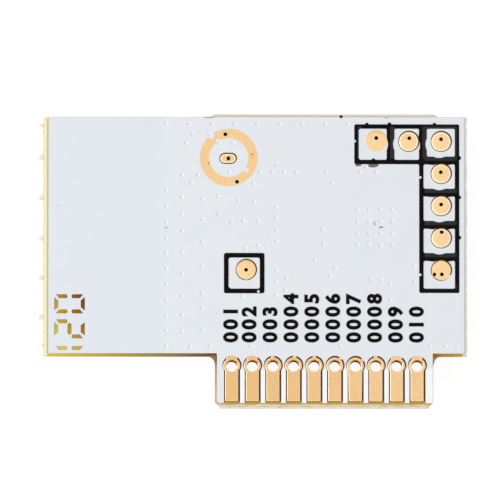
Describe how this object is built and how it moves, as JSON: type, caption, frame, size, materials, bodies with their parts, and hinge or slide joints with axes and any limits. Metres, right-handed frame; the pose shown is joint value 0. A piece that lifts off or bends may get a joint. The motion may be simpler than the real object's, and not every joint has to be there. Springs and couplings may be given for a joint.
{
  "type": "wireless audio module",
  "caption": "Flat white circuit board module with a tab of gold edge contacts with plated holes, round test pads in printed boxes, a ring pad, and chips soldered underneath.",
  "frame": {"origin": "centre of the bounding box in plan, at the lowest face of the parts soldered under the board", "axes": "+X along the board, +Y from the contact tab to the far edge, +Z out of the pad side"},
  "size_m": [0.0264, 0.0182, 0.0024],
  "materials": {
    "laminate": "glass-epoxy laminate, satin face, pale broken edges",
    "white_mask": "white solder mask, semi-gloss",
    "gold": "gold over nickel on copper, satin",
    "black_ink": "black printed ink, matt",
    "copper": "copper under the mask",
    "solder": "tin solder and tinned leads",
    "chip_moulding": "black moulded epoxy",
    "crystal_ceramic": "dark ceramic base",
    "crystal_metal": "plated metal lid",
    "ferrite": "grey ferrite",
    "winding": "enamelled copper wire",
    "capacitor_ceramic": "tan capacitor ceramic",
    "resistor_ceramic": "resistor chip with black overcoat"
  },
  "bodies": {
    "root": {"laminate_plate": "laminate", "pad_side_mask": "white_mask", "part_side_mask": "white_mask", "ring_pad": "gold", "centre_pad": "gold", "frame_print_row": "black_ink", "frame_print_single": "black_ink", "antenna_trace": "copper", "soldered_lands": "solder", "soc_body": "chip_moulding", "soc_leads": "solder", "flash_body": "chip_moulding", "flash_leads": "solder", "crystal_base": "crystal_ceramic", "crystal_lid": "crystal_metal", "inductor_core": "ferrite", "inductor_coil": "winding", "inductor_plates": "solder", "bulk_capacitor_ends": "solder", "small_capacitor_ends": "solder", "resistor_ends": "solder", "edge_contact_1": "gold", "edge_contact_2": "gold", "edge_contact_3": "gold", "edge_contact_4": "gold", "edge_contact_5": "gold", "edge_contact_6": "gold", "edge_contact_7": "gold", "edge_contact_8": "gold", "edge_contact_9": "gold", "edge_contact_10": "gold", "test_pad_1": "gold", "test_pad_2": "gold", "test_pad_3": "gold", "test_pad_4": "gold", "test_pad_5": "gold", "test_pad_6": "gold", "test_pad_7": "gold", "test_pad_8": "gold", "bulk_capacitor_1": "capacitor_ceramic", "bulk_capacitor_2": "capacitor_ceramic", "bulk_capacitor_3": "capacitor_ceramic", "bulk_capacitor_4": "capacitor_ceramic", "small_capacitor_1": "capacitor_ceramic", "small_capacitor_2": "capacitor_ceramic", "small_capacitor_3": "capacitor_ceramic", "small_capacitor_4": "capacitor_ceramic", "small_capacitor_5": "capacitor_ceramic", "small_capacitor_6": "capacitor_ceramic", "small_capacitor_7": "capacitor_ceramic", "small_capacitor_8": "capacitor_ceramic", "resistor_1": "resistor_ceramic", "resistor_2": "resistor_ceramic", "resistor_3": "resistor_ceramic", "resistor_4": "resistor_ceramic"}
  },
  "joints": []
}
